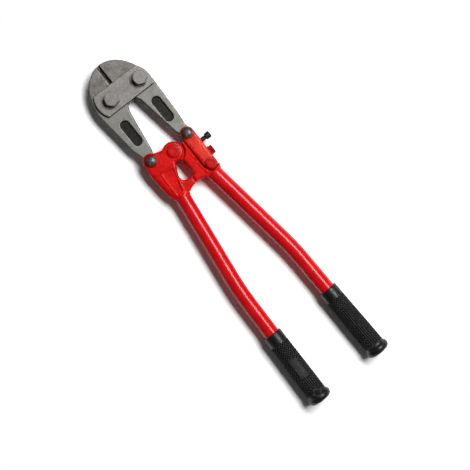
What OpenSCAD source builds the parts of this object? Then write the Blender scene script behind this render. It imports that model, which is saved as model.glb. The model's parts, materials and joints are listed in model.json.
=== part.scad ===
// Compound bolt cutters, 600 mm class, lying flat with the jaws closed.
// Hinge axes run along Z, the jaws point to +Y and the grips to -Y.
// The origin is under the middle of the overall box.

/* [Jaws] */
// Jaw hinges ahead of the centre bolt
hinge_rise = 118; // [110:0.5:126]
// Distance between the two jaw hinges
hinge_span = 54; // [50:0.5:60]
// Both jaw hinges to the right of the centre line
hinge_shift = 3.5; // [0:0.5:4]
// Blade tip ahead of the jaw hinges
blade_len = 56; // [46:0.5:66]
// Cutting line to the left of the centre line
blade_shift = 8.5; // [0:0.5:10]
// Outline of the jaws to the left of the centre line
jaw_shift = 3.5; // [0:0.5:5]
// Widest line of the jaws below the hinge bolts
shoulder_drop = 11; // [4:0.5:16]
// Arm's outer flank beyond its eye
arm_flare = 3.2; // [0:0.2:5]
// Jaw thickness
jaw_t = 12; // [9:0.5:15]
// Half width of the closed jaws at the hinges
jaw_half = 50.5; // [46:0.5:56]
// Roundness of the blade shoulders, 2 is an ellipse
shoulder_n = 1.97; // [1.5:0.01:2.2]
// Width of a jaw arm above its toggle eye
arm_low_w = 20; // [17:0.5:23]
// Half gap between the arms under the link plates
arm_gap = 11.4; // [9:0.1:14]
// Width of the groove over the cutting edges
groove_w = 5.4; // [3:0.1:8]
// Height of the flat land on each cutting edge
edge_land = 1.6; // [0.8:0.1:3]
// Gap between the closed jaws
jaw_gap = 0.2; // [0.1:0.05:0.4]
// Pocket width in a jaw arm
pocket_w = 15; // [9:0.5:16]
// Pocket length
pocket_len = 45; // [25:1:52]
// Pocket depth
pocket_depth = 3; // [1:0.25:4]
// Toggle eye radius
eye_r = 10.25; // [9:0.25:10.5]

/* [Link plates] */
// Overall width
plate_w = 95; // [84:0.5:100]
// Link plate to the left of the centre line
plate_shift = 1; // [0:0.5:3]
// Centre of the plate's right end arc below its middle line, so that the corner follows the jaw
plate_end_drop = 4.5; // [0:0.5:6]
// Edge below the hinges
plate_below = 18; // [15:0.5:22]
// Edge above the hinges
plate_above = 21; // [17:0.5:26]
// Thickness
plate_t = 5; // [3.5:0.25:7]
// Radius of the bulging ends
plate_end_r = 36; // [30:1:46]
// Side clearance between stacked moving pieces
side_gap = 0.1; // [0.05:0.01:0.3]

/* [Jaw bolts] */
// Shank diameter
jaw_bolt_d = 14; // [10:0.5:16]
// Hexagon across the flats
jaw_hex = 21; // [18:0.5:24]
// Head height
jaw_head_h = 11; // [7:0.25:13]
// Nut height
jaw_nut_h = 7.9; // [5:0.1:10]
// Diameter of the round flange under head and nut
jaw_flange_d = 24.5; // [21:0.5:27]
// Flange height
jaw_flange_h = 2; // [0.6:0.1:3]
// Radial clearance of every turning pin
pin_gap = 0.05; // [0.02:0.01:0.1]
// Radial clearance of every seated pin and nut
seat_gap = 0.03; // [0.01:0.01:0.08]

/* [Toggle joints] */
// Distance between the two toggle bolts
toggle_span = 70; // [68:0.5:74]
// Toggle bolts ahead of the centre bolt
toggle_rise = 9; // [5:0.5:12]
// Bolt diameter, also of the centre and lever bolts
toggle_d = 10; // [7:0.5:11]
// Head diameter
toggle_head_d = 15; // [13:0.5:17]
// Head height
toggle_head_h = 3.2; // [2:0.1:5]
// Nut across the flats
toggle_hex = 16; // [14:0.5:18]
// Nut height
toggle_nut_h = 4.4; // [3:0.1:6]
// Screwdriver slot width
slot_w = 2; // [1:0.1:3]
// Screwdriver slot depth
slot_depth = 1.4; // [0.6:0.1:2]
// Raised boss diameter round each bolt
boss_d = 18.5; // [17:0.5:20]
// Boss height
boss_h = 1; // [0.5:0.1:2]

/* [Handle heads] */
// Thickness of one clevis ear
ear_t = 5.4; // [4:0.2:7]
// Ear radius round a toggle bolt
ear_r = 12.5; // [11.5:0.25:13.5]
// Ear radius round the centre bolt
hub_r = 16; // [14:0.5:18]
// Slack of the right eye round the centre bolt, where the linkage is opened
loop_slack = 3.4; // [3.2:0.1:4]
// Inner edge of the stop lobes
stop_top = 47; // [44:0.5:49]
// Outer edge of the stop lobes
stop_low = 58; // [56:0.5:62]
// Half gap between the stop lobes
stop_gap = 0.15; // [0.1:0.05:0.3]
// Outer half width of the heads
head_half = 49.5; // [48:0.5:54]
// Depth of the sunk panel
panel_depth = 1.2; // [0.5:0.1:2]
// Outer edge of the sunk panel
panel_out = 34.5; // [32:0.5:36]
// Top of the sunk panel, behind the centre bolt
panel_top = 15; // [13:0.5:20]
// Length of the sunk panel
panel_len = 41.5; // [34:0.5:42]
// Height of the raised bead round the panel
bead_h = 1; // [0.3:0.1:1.4]
// Width of the bead
bead_w = 2; // [1:0.1:3]
// Height of the ridge beside the lever
ridge_h = 1.3; // [0.5:0.1:1.6]
// Width of the ridge
ridge_w = 3.6; // [2:0.2:5]
// Tube shoulder to the side of the centre line
neck_x = 31; // [30:0.1:34]
// Tube shoulder behind the centre bolt
neck_y = 65; // [63:0.5:76]
// Collar diameter at the tube shoulder
collar_d = 26.5; // [25.5:0.25:28.5]
// Collar length
collar_len = 3; // [2:0.5:6]
// Spigot length inside the tube
spigot_len = 42; // [25:1:60]

/* [Adjusting lever] */
// Lower pivot to the side of the centre line
lever_x = 34.6; // [34:0.1:36]
// Lower pivot behind the centre bolt
lever_y = 50; // [48:0.5:52]
// Upper end radius
lever_top_r = 10.75; // [10.5:0.25:11.5]
// Lower end radius
lever_r = 10.5; // [9.5:0.25:11.25]
// Width of the slots beyond the lever ends
slot_gap = 0.7; // [0.5:0.1:1.5]
// Gap between the lever and the head arm
lever_gap = 1.5; // [1.4:0.1:2.5]
// Radius of the tang that carries the lower pivot
tang_r = 9.25; // [8:0.25:9.5]

/* [Adjusting screws] */
// Adjusting screw behind the centre bolt
screw_y = 12; // [10:0.5:16]
// Shank diameter of both screws
screw_d = 7; // [5:0.5:8]
// Free length of the adjusting screw outside the lever
screw_out = 9; // [4:0.5:14]
// Head diameter of the adjusting screw
screw_head_d = 11; // [9:0.5:14]
// Head height of the adjusting screw
screw_head_h = 8; // [5:0.5:10]
// Hexagon socket across the flats
socket_hex = 6; // [4:0.5:8]
// Radial room of the screws in the lever
screw_room = 0.5; // [0.4:0.05:0.8]
// Lock bolt behind the centre bolt
lock_y = 33; // [30:0.5:33.5]
// Lock bolt hexagon across the flats
lock_hex = 14; // [11:0.5:15]
// Lock bolt head height
lock_head_h = 5; // [3:0.25:7]
// Depth of the lock bolt in the head arm
lock_depth = 12; // [6:0.5:14]
// Lock washer thickness
washer_t = 1.8; // [1:0.1:3]
// Lock washer diameter
washer_d = 16; // [14:0.5:17]
// Free gap under the lock washer
washer_gap = 0.5; // [0.45:0.05:0.8]

/* [Tubes] */
// Outside diameter
tube_d = 25; // [22:0.5:26]
// Wall
tube_wall = 2; // [1.2:0.1:3]
// Splay of the upper length, degrees
splay = 7.5; // [6.5:0.1:8.5]
// Upper straight length
upper_len = 143; // [110:1:180]
// Bend angle, degrees
bend = 6.1; // [4:0.1:6.4]
// Bend radius on the centre line
bend_r = 425; // [250:5:600]
// Lower straight length
lower_len = 176; // [150:1:230]
// Radial clearance of the spigot and the grip
fit_gap = 0.1; // [0.05:0.01:0.2]

/* [Grips] */
// Length
grip_len = 126; // [110:1:140]
// Rubber behind the end of the tube
grip_end_wall = 8; // [4:0.5:20]
// Diameter at the mouth
grip_mouth_d = 30.4; // [28.4:0.2:33]
// Length of the plain collar at the mouth
grip_collar = 18; // [10:0.5:30]
// Diameter in front of the flange
grip_end_d = 32.6; // [30:0.2:35]
// Flange diameter
flange_d = 38; // [35:0.5:41]
// Flange length, from the start of the flare to the tip
flange_len = 24; // [20:0.5:30]
// Rounding of the end
end_round = 6; // [3:0.5:8]
// Depth of the fine ribs
rib_h = 0.5; // [0.2:0.1:1]
// Rib pitch
rib_pitch = 4.2; // [3:0.1:8]
// Raised label pad height on the left grip, left bare
pad_h = 0.8; // [0.3:0.1:1.5]
// Pad length
pad_len = 27; // [16:1:36]
// Pad width
pad_w = 12; // [8:0.5:16]
// Pad centre behind the grip mouth
pad_at = 64; // [50:1:76]

/* [View] */
// Piece to show

/* [Hidden] */
$fn = 64;

steel = [0.56, 0.54, 0.52];
plate_steel = [0.60, 0.59, 0.57];
bright_steel = [0.70, 0.69, 0.66];
red_paint = [0.70, 0.06, 0.07];
orange_paint = [0.86, 0.20, 0.08];
black_rubber = [0.08, 0.08, 0.08];
black_oxide = [0.14, 0.14, 0.15];
dark_steel = [0.32, 0.31, 0.31];

// Heights of the stacked faces above the middle plane
jaw_z = jaw_t / 2;
inner_z = jaw_z + side_gap;
plate_z = inner_z + plate_t;
ear_z = inner_z + ear_t;
boss_z = ear_z + boss_h;

// Joint centres on the right-hand side
hinge_right = [hinge_shift + hinge_span / 2, hinge_rise];
hinge_left = [hinge_shift - hinge_span / 2, hinge_rise];
toggle = [toggle_span / 2, toggle_rise];
lever = [lever_x, -lever_y];
tip_y = hinge_rise + blade_len;
toggle_r = toggle_d / 2;

// Centre line of the right tube
lower_a = splay - bend;
neck = [neck_x, -neck_y];
bend_in = neck + upper_len * [sin(splay), -cos(splay)];
bend_c = bend_in - bend_r * [cos(splay), sin(splay)];
bend_out = bend_c + bend_r * [cos(lower_a), sin(lower_a)];
tube_end = bend_out + lower_len * [sin(lower_a), -cos(lower_a)];
grip_cover = grip_len - grip_end_wall;
grip_at = tube_end - grip_cover * [sin(lower_a), -cos(lower_a)];

// Overall box
flange_r = flange_d / 2;
round_at = grip_at + (grip_len - end_round) * [sin(lower_a), -cos(lower_a)];
low_y = round_at[1] - (flange_r - end_round) * sin(lower_a) - end_round;
low_z = -max(flange_r, plate_z + jaw_nut_h, boss_z + toggle_nut_h);
origin = [0, (tip_y + low_y) / 2, low_z];

// Head arm and lever faces
lever_in = min(toggle[0] - lever_top_r, lever[0] - lever_r);
arm_out = lever_in - lever_gap;
slot_r = ear_r + slot_gap;
lever_fork_r = lever_top_r + slot_gap;
lever_slot_r = lever_r + slot_gap;
hub_room = hub_r + loop_slack;
screw_r = screw_d / 2;

function chaikin(p, k) =
    k == 0 ? p :
    chaikin([
        for (i = [0 : len(p) - 1])
            let (q = p[(i + 1) % len(p)])
            each [p[i] * 0.75 + q * 0.25, p[i] * 0.25 + q * 0.75]
    ], k - 1);

// Outer face of the lever at a distance behind the centre bolt
function lever_face(y) =
    let (t = (toggle[1] + y) / (toggle[1] - lever[1]))
    (toggle[0] + lever_top_r) * (1 - t) + (lever[0] + lever_r) * t;

// ---------- shared pieces ----------

module slab(z0, z1) {
    translate([0, 0, z0]) linear_extrude(height = z1 - z0) children();
}

module at(p) {
    translate([p[0], p[1], 0]) children();
}

module pin(r, z0, z1) {
    translate([0, 0, z0]) cylinder(r = r, h = z1 - z0);
}

// Hexagon with its outer corners turned off
module hex_block(af, h, chamfer) {
    rc = af / 2 / cos(30);
    intersection() {
        cylinder(r = rc, h = h, $fn = 6);
        union() {
            cylinder(r = rc + 0.01, h = h - chamfer);
            translate([0, 0, h - chamfer])
                cylinder(r1 = rc + 0.01, r2 = rc - 1.7 * chamfer, h = chamfer);
        }
    }
}

// Low domed head with a screwdriver slot
module slot_head(d, h, turn) {
    dome_r = d;
    difference() {
        intersection() {
            cylinder(d = d, h = h);
            translate([0, 0, h - dome_r]) sphere(r = dome_r, $fn = 96);
        }
        rotate([0, 0, turn])
            translate([-d, -slot_w / 2, h - slot_depth])
            cube([2 * d, slot_w, slot_depth + 1]);
    }
}

// Flat round head with a turned edge and a shallow centre
module round_head(d, h) {
    edge = min(0.8, h / 3);
    difference() {
        union() {
            cylinder(d = d, h = h - edge);
            translate([0, 0, h - edge]) cylinder(d1 = d, d2 = d - 2 * edge, h = edge);
        }
        translate([0, 0, h - 0.6]) cylinder(d = d * 0.42, h = 1);
    }
}

// Jam nut under the lower boss
module low_nut(af, h, r, z) {
    translate([0, 0, -z]) rotate([180, 0, 0])
    difference() {
        hex_block(af, h, 0.8);
        translate([0, 0, -1]) cylinder(r = r + seat_gap, h = h + 2);
    }
}

module through_bolt(head_z) {
    pin(toggle_r, -boss_z - toggle_nut_h, head_z);
}

module along_tube(p, a) {
    translate([p[0], p[1], 0]) rotate([0, 0, a]) rotate([90, 0, 0]) children();
}

// ---------- jaws ----------

// One jaw drawn on the right. seam is where the cutting line lies, shift moves the outline,
// and pivot is the hinge.
module jaw_outline(seam, shift) {
    steps = 26;
    dome = blade_len + shoulder_drop;
    edge = seam + jaw_gap / 2;
    off = abs(seam - 1.35 * shift) / jaw_half;
    arm_y = toggle_rise + eye_r + 3.5;
    arm_mid = toggle[0] - 2.7;
    tip = dome * pow(1 - pow(off, shoulder_n), 1 / shoulder_n);
    shoulder = [
        for (i = [0 : steps])
            let (t = 90 * (1 - i / steps))
            let (rise = dome * pow(sin(t), 2 / shoulder_n))
            let (lean = shift * (1 + 0.35 * min(1, rise / dome / 0.6)))
            let (x = jaw_half * pow(cos(t), 2 / shoulder_n) + lean)
            if (x > edge + 0.3) [x, hinge_rise - shoulder_drop + rise]
    ];
    // The inner corners are rounded where the arm meets its eye
    offset(r = -2) offset(delta = 2) {
    at(toggle) circle(r = eye_r, $fn = 96);
    polygon(concat(
        [[edge, hinge_rise - shoulder_drop + tip]],
        shoulder,
        [
            [arm_mid + arm_low_w / 2 + arm_flare + 0.4 * shift, arm_y + 15],
            [arm_mid + arm_low_w / 2, arm_y],
            [toggle[0] + eye_r * 0.85, toggle_rise + eye_r * 0.3],
            [toggle[0] + toggle_r * 0.6, toggle_rise - toggle_r * 0.6],
            [toggle[0] - toggle_r * 0.6, toggle_rise - toggle_r * 0.6],
            [toggle[0] - eye_r * 0.85, toggle_rise + eye_r * 0.3],
            [arm_mid - arm_low_w / 2, arm_y],
            [arm_gap, hinge_rise - plate_below - 8],
            [arm_gap * 0.45, hinge_rise - plate_below + 4],
            [arm_gap * 0.12, hinge_rise - 7],
            [jaw_gap / 2, hinge_rise - 1],
            [jaw_gap / 2, hinge_rise],
            [edge, hinge_rise + plate_above - 2]
        ]
    ));
    }
}

module jaw_shape(seam, shift, pivot) {
    groove_y = hinge_rise + plate_above;
    pocket_y = (toggle_rise + hinge_rise - plate_below) / 2 + 7;
    pocket_x = (jaw_half + arm_gap) / 2 - 0.65 + 0.33 * shift;
    half_len = (pocket_len - pocket_w) / 2;
    difference() {
        slab(-jaw_z, jaw_z) jaw_outline(seam, shift);
        // Cutting edge, ground from both faces
        for (s = [-1, 1])
            translate([seam, tip_y + 1, 0]) rotate([90, 0, 0])
            linear_extrude(height = tip_y + 1 - groove_y)
            polygon([
                [-1, s * edge_land / 2],
                [jaw_gap / 2, s * edge_land / 2],
                [groove_w / 2, s * jaw_z],
                [groove_w / 2, s * (jaw_z + 1)],
                [-1, s * (jaw_z + 1)]
            ]);
        // Lightening pockets in both faces
        for (s = [0, 1]) mirror([0, 0, s])
            slab(jaw_z - pocket_depth, jaw_z + 1)
            hull() {
                translate([pocket_x, pocket_y - half_len]) circle(d = pocket_w, $fn = 32);
                translate([pocket_x, pocket_y + half_len]) circle(d = pocket_w, $fn = 32);
            }
        at(pivot) pin(jaw_bolt_d / 2 + pin_gap, -jaw_z - 1, jaw_z + 1);
        at(toggle) pin(toggle_r + pin_gap, -jaw_z - 1, jaw_z + 1);
    }
}

module jaw_right() {
    color(steel) jaw_shape(-blade_shift, -jaw_shift, hinge_right);
}

module jaw_left() {
    color(steel) mirror([1, 0, 0])
        jaw_shape(blade_shift, jaw_shift, [-hinge_left[0], hinge_left[1]]);
}

// ---------- link plates ----------

module plate_outline() {
    mid_y = hinge_rise + (plate_above - plate_below) / 2;
    end_x = plate_w / 2 - plate_end_r;
    translate([-plate_shift, 0])
    intersection() {
        translate([-plate_w / 2, hinge_rise - plate_below])
            square([plate_w, plate_below + plate_above]);
        hull() {
            translate([-end_x, mid_y]) circle(r = plate_end_r, $fn = 128);
            translate([end_x, mid_y - plate_end_drop]) circle(r = plate_end_r, $fn = 128);
        }
    }
}

module link_plate() {
    difference() {
        slab(inner_z, plate_z) plate_outline();
        for (p = [hinge_left, hinge_right])
            at(p) pin(jaw_bolt_d / 2 + seat_gap, inner_z - 1, plate_z + 1);
    }
}

module link_plate_front() {
    color(plate_steel) link_plate();
}

module link_plate_rear() {
    color(plate_steel) mirror([0, 0, 1]) link_plate();
}

// ---------- jaw bolts ----------

module jaw_bolts() {
    color(bright_steel)
    for (p = [hinge_left, hinge_right]) at(p) {
        pin(jaw_bolt_d / 2, -plate_z - jaw_nut_h, plate_z + 0.5);
        pin(jaw_flange_d / 2, plate_z, plate_z + jaw_flange_h);
        translate([0, 0, plate_z]) rotate([0, 0, p[0] < 0 ? 12 : 34])
            hex_block(jaw_hex, jaw_head_h, 1.2);
    }
}

module jaw_nuts() {
    color(bright_steel)
    for (p = [hinge_left, hinge_right]) at(p)
        difference() {
            union() {
                low_nut(jaw_hex, jaw_nut_h, jaw_bolt_d / 2, plate_z);
                pin(jaw_flange_d / 2, -plate_z - jaw_flange_h, -plate_z);
            }
            pin(jaw_bolt_d / 2 + seat_gap, -plate_z - jaw_nut_h - 1, -plate_z + 1);
        }
}

// ---------- handle heads ----------

// Common lower part: stop lobe, arch and tube neck
module neck() {
    hull() {
        translate([neck_x - collar_d / 2, -stop_low, -ear_z + 0.6])
            cube([collar_d + 1.4, 2, 2 * ear_z - 1.2]);
        along_tube(neck, splay)
            translate([0, 0, -collar_len + 0.4]) cylinder(d = collar_d - 0.5, h = 0.8, $fn = 64);
    }
    along_tube(neck, splay)
        translate([0, 0, -collar_len]) cylinder(d = collar_d, h = collar_len);
    along_tube(neck, splay)
        translate([0, 0, -collar_len])
        cylinder(r = tube_d / 2 - tube_wall - fit_gap, h = collar_len + spigot_len);
}

module yoke_outline() {
    polygon(chaikin([
        [toggle[0] - 6, toggle[1] + 9.5],
        [15, hub_r - 3.5],
        [4, hub_r - 4],
        [0, 0],
        [5, -hub_r + 3],
        [11, -24],
        [17, -stop_top + 11],
        [14, -stop_top + 2.5],
        [6, -stop_top],
        [stop_gap, -stop_top],
        [stop_gap, -stop_low],
        [8, -stop_low - 0.5],
        [neck_x - tube_d / 2 - 2, -stop_low - 5],
        [neck_x - tube_d / 2 + 4, -stop_low - 4],
        [neck_x + tube_d / 2 - 2, -stop_low - 4],
        [neck_x + collar_d / 2 + 2.6, -stop_low + 5],
        [head_half - 0.6, -32],
        [head_half + 0.5, -6],
        [toggle[0] + 11, toggle[1] + 3],
        [toggle[0] + 4, toggle[1] + 9]
    ], 2));
}

module panel_outline(grow) {
    panel_low = -panel_top - panel_len;
    offset(r = 2.5 + grow) offset(delta = -2.5)
    polygon([
        [panel_out, -panel_top],
        [14.8, -panel_top - 5],
        [25.5, panel_low],
        [panel_out + 1.5, panel_low - 1]
    ]);
}

module head_left() {
    color(red_paint) mirror([1, 0, 0])
    difference() {
        union() {
            slab(-ear_z, ear_z) {
                yoke_outline();
                at(toggle) circle(r = ear_r);
                circle(r = hub_r);
            }
            neck();
            at(toggle) pin(boss_d / 2, -boss_z, boss_z);
            pin(boss_d / 2, -boss_z, boss_z);
            slab(ear_z, ear_z + bead_h) panel_outline(bead_w);
        }
        // Slots for the jaw eye and for the right-hand eye
        slab(-inner_z, inner_z) {
            at(toggle) circle(r = slot_r);
            circle(r = hub_room, $fn = 96);
            translate([-hub_room, -3]) square([hub_room + head_half + 10, 60]);
        }
        slab(ear_z - panel_depth, ear_z + 2) panel_outline(0);
        at(toggle) pin(toggle_r + seat_gap, -boss_z - 1, boss_z + 1);
        pin(toggle_r + seat_gap, -boss_z - 1, boss_z + 1);
    }
}

module arm_outline() {
    offset(r = 1.5) offset(delta = -1.5)
    polygon([
        [2.5, -10],
        [arm_out, 4],
        [arm_out, -lever_y + 6],
        [lever_x - 3, -stop_low + 2],
        [neck_x + collar_d / 2 + 1, -stop_low - 1],
        [neck_x + tube_d / 2, -neck_y + 3],
        [neck_x - tube_d / 2 + 2, -stop_low - 5],
        [neck_x - tube_d / 2 - 3, -stop_low - 3.5],
        [8, -stop_low - 0.5],
        [stop_gap, -stop_low],
        [stop_gap, -stop_top],
        [4.2, -stop_top + 2],
        [5.2, -36],
        [4.4, -24],
        [2.6, -14]
    ]);
}

module head_right() {
    eye_t = jaw_z;
    color(red_paint)
    difference() {
        union() {
            difference() {
                union() {
                    slab(-ear_z, ear_z) arm_outline();
                    neck();
                    // Ridge along the outer edge of the arm
                    slab(ear_z, ear_z + ridge_h)
                        polygon([
                            [arm_out - ridge_w, 3],
                            [arm_out - 0.2, 3],
                            [arm_out - 0.2, -lever_y + 4],
                            [arm_out + 1.5, -stop_low + 1],
                            [arm_out + 1.5 - ridge_w, -stop_low + 1],
                            [arm_out - ridge_w, -lever_y + 6]
                        ]);
                }
                // Room for the ears of the left head and of the lever
                for (s = [0, 1]) mirror([0, 0, s]) {
                    slab(inner_z, ear_z + 2) circle(r = hub_room, $fn = 96);
                    slab(inner_z, ear_z + 2) at(lever) circle(r = lever_slot_r);
                }
                translate([arm_out, -lever_y, -ear_z - 2])
                    cube([40, lever_y + 20, 2 * ear_z + 4]);
            }
            // Eye round the centre bolt
            slab(-eye_t, eye_t) {
                circle(r = hub_r);
                polygon([
                    [hub_r * 0.1, -hub_r + 1],
                    [hub_r - 0.5, 3],
                    [arm_out - 1, -6],
                    [arm_out - 1, -stop_top + 8],
                    [5, -stop_top + 8],
                    [3.2, -hub_r - 4]
                ]);
            }
            // Tang for the lower lever pivot
            slab(-eye_t, eye_t) {
                at(lever) circle(r = tang_r);
                polygon([
                    [lever[0] - tang_r * 0.7, lever[1] + tang_r * 0.7],
                    [arm_out - 3, lever[1] - 2.5],
                    [arm_out - 3, -stop_low],
                    [neck_x, -stop_low - 3],
                    [lever[0] + tang_r * 0.7, lever[1] - tang_r * 0.7]
                ]);
            }
        }
        // The linkage is opened here
        pin(toggle_r + loop_slack, -jaw_z - 1, jaw_z + 1);
        at(lever) pin(toggle_r + seat_gap, -jaw_z - 1, jaw_z + 1);
        // Thread of the lock bolt
        translate([arm_out - lock_depth - 1, -lock_y, 0]) rotate([0, 90, 0])
            cylinder(r = screw_r + pin_gap, h = lock_depth + 2);
        // Seat of the adjusting screw
        translate([arm_out - 1, -screw_y, 0]) rotate([0, 90, 0])
            cylinder(r = screw_r + pin_gap, h = 2);
    }
}

// ---------- adjusting lever ----------

module adjusting_lever() {
    color(orange_paint)
    difference() {
        union() {
            slab(-ear_z, ear_z)
            hull() {
                at(toggle) circle(r = lever_top_r);
                at(lever) circle(r = lever_r);
            }
            at(toggle) pin(boss_d / 2, -boss_z, boss_z);
            at(lever) pin(boss_d / 2, -boss_z, boss_z);
        }
        slab(-inner_z, inner_z) {
            at(toggle) circle(r = lever_fork_r);
            at(lever) circle(r = lever_slot_r);
        }
        at(toggle) pin(toggle_r + seat_gap, -boss_z - 1, boss_z + 1);
        at(lever) pin(toggle_r + pin_gap, -boss_z - 1, boss_z + 1);
        for (y = [screw_y, lock_y])
            translate([lever_in - 5, -y, 0]) rotate([0, 90, 0])
            cylinder(r = screw_r + screw_room, h = 2 * lever_top_r + 12);
    }
}

// ---------- screws ----------

module adjusting_screw() {
    tip_x = arm_out - 0.95;
    head_x = lever_face(screw_y) + screw_out;
    color(black_oxide)
    translate([0, -screw_y, 0]) rotate([0, 90, 0])
    difference() {
        union() {
            translate([0, 0, tip_x]) cylinder(r = screw_r, h = head_x - tip_x + 0.5);
            translate([0, 0, head_x]) cylinder(d = screw_head_d, h = screw_head_h - 0.8);
            translate([0, 0, head_x + screw_head_h - 0.8])
                cylinder(d1 = screw_head_d, d2 = screw_head_d - 1.6, h = 0.8);
        }
        translate([0, 0, head_x + screw_head_h - 4.5])
            cylinder(r = socket_hex / 2 / cos(30), h = 5, $fn = 6);
    }
}

module lock_bolt() {
    seat_x = lever_face(lock_y - lock_hex / 2) + washer_gap + washer_t;
    color(dark_steel)
    translate([0, -lock_y, 0]) rotate([0, 90, 0]) {
        translate([0, 0, arm_out - lock_depth])
            cylinder(r = screw_r, h = seat_x + 0.5 - arm_out + lock_depth);
        translate([0, 0, seat_x]) hex_block(lock_hex, lock_head_h, 0.8);
    }
}

module lock_washer() {
    seat_x = lever_face(lock_y - lock_hex / 2) + washer_gap;
    color(dark_steel)
    translate([seat_x, -lock_y, 0]) rotate([0, 90, 0])
    difference() {
        cylinder(d = washer_d, h = washer_t);
        translate([0, 0, -1]) cylinder(r = screw_r + seat_gap, h = washer_t + 2);
    }
}

// ---------- bolts of the heads ----------

module toggle_bolt() {
    through_bolt(boss_z + 0.5);
    translate([0, 0, boss_z]) slot_head(toggle_head_d, toggle_head_h, 40);
}

module plain_bolt() {
    through_bolt(boss_z + 0.5);
    translate([0, 0, boss_z]) round_head(toggle_head_d, toggle_head_h * 0.7);
}

module toggle_bolt_right() {
    color(dark_steel) at(toggle) toggle_bolt();
}

module toggle_bolt_left() {
    color(dark_steel) at([-toggle[0], toggle[1]]) toggle_bolt();
}

module toggle_nut_right() {
    color(dark_steel) at(toggle) low_nut(toggle_hex, toggle_nut_h, toggle_r, boss_z);
}

module toggle_nut_left() {
    color(dark_steel)
    at([-toggle[0], toggle[1]]) low_nut(toggle_hex, toggle_nut_h, toggle_r, boss_z);
}

module centre_bolt() {
    color(red_paint) plain_bolt();
}

module centre_nut() {
    color(red_paint) low_nut(toggle_hex, toggle_nut_h, toggle_r, boss_z);
}

module lever_bolt() {
    color(orange_paint) at(lever) plain_bolt();
}

module lever_nut() {
    color(orange_paint) at(lever) low_nut(toggle_hex, toggle_nut_h, toggle_r, boss_z);
}

// ---------- tubes ----------

// The straight lengths are a hair thinner, so that each seam is a clean edge
module tube_run(r, hair, over) {
    lap = 0.6;
    along_tube(neck, splay)
        translate([0, 0, -over]) cylinder(r = r - hair, h = upper_len + over + lap);
    at(bend_c) rotate([0, 0, lower_a])
        rotate_extrude(angle = bend) translate([bend_r, 0]) circle(r = r);
    along_tube(bend_out, lower_a)
        translate([0, 0, -lap]) cylinder(r = r - hair, h = lower_len + over + lap);
}

module tube_shape() {
    difference() {
        tube_run(tube_d / 2, 0.05, 0);
        tube_run(tube_d / 2 - tube_wall, -0.05, 1);
    }
}

module tube_right() {
    color(red_paint) tube_shape();
}

module tube_left() {
    color(red_paint) mirror([1, 0, 0]) tube_shape();
}

// ---------- grips ----------

module grip_body() {
    r0 = grip_mouth_d / 2;
    r1 = grip_end_d / 2;
    flare = grip_len - flange_len;
    ribs = floor((flare - grip_collar - 4) / rib_pitch);
    rib_r = [for (i = [0 : ribs]) r0 + (r1 - r0) * (i * rib_pitch) / (flare - grip_collar)];
    rib_at = [for (i = [0 : ribs]) grip_collar + 2 + i * rib_pitch];
    rotate_extrude($fn = 96)
    polygon(concat(
        [[tube_d / 2 + fit_gap, 0], [r0 - 0.8, 0], [r0, 0.8], [r0, grip_collar]],
        [for (i = [0 : ribs]) each [
            [rib_r[i] - rib_h, rib_at[i] - 0.2],
            [rib_r[i] - rib_h, rib_at[i] + 0.5],
            [rib_r[i], rib_at[i] + 1],
            [rib_r[i] + 0.02, rib_at[i] + rib_pitch - 0.7]
        ]],
        [
            [r1, flare],
            [r1 + (flange_r - r1) * 0.35, flare + 5],
            [flange_r - 0.6, flare + 10],
            [flange_r, flare + 12.5]
        ],
        [for (i = [0 : 9]) let (t = i * 10)
            [flange_r - end_round + end_round * cos(t),
                grip_len - end_round + end_round * sin(t)]],
        [
            [0, grip_len],
            [0, grip_cover + fit_gap],
            [tube_d / 2 + fit_gap, grip_cover + fit_gap]
        ]
    ));
}

module grip_right() {
    color(black_rubber) along_tube(grip_at, lower_a) grip_body();
}

module grip_left() {
    pad_r = (grip_mouth_d + grip_end_d) / 4 + pad_h;
    color(black_rubber) mirror([1, 0, 0]) along_tube(grip_at, lower_a) {
        grip_body();
        // Bare label pad on the upper side
        intersection() {
            difference() {
                cylinder(r = pad_r, h = grip_len);
                translate([0, 0, -1]) cylinder(r = tube_d / 2 + 1, h = grip_len + 2);
            }
            translate([0, 0, pad_at]) rotate([-90, 0, 0])
            linear_extrude(height = 2 * flange_r)
            offset(r = 2) square([pad_w - 4, pad_len - 4], center = true);
        }
    }
}

translate(-origin) {
    link_plate_front();
    link_plate_rear();
    jaw_bolts();
    jaw_nuts();
    jaw_left();
    jaw_right();
    head_left();
    tube_left();
    grip_left();
    toggle_bolt_left();
    toggle_nut_left();
    centre_bolt();
    centre_nut();
    head_right();
    tube_right();
    grip_right();
    lever_bolt();
    lever_nut();
    adjusting_lever();
    toggle_bolt_right();
    toggle_nut_right();
    adjusting_screw();
    lock_bolt();
    lock_washer();
}
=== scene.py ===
"""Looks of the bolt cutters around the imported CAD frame.

Rounded forgings and knurled grips stand for CAD nodes, and every piece has a procedural material.
"""

import json
import math

import bpy
import numpy as np
from mathutils import Matrix, Vector
from mathutils.kdtree import KDTree

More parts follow.
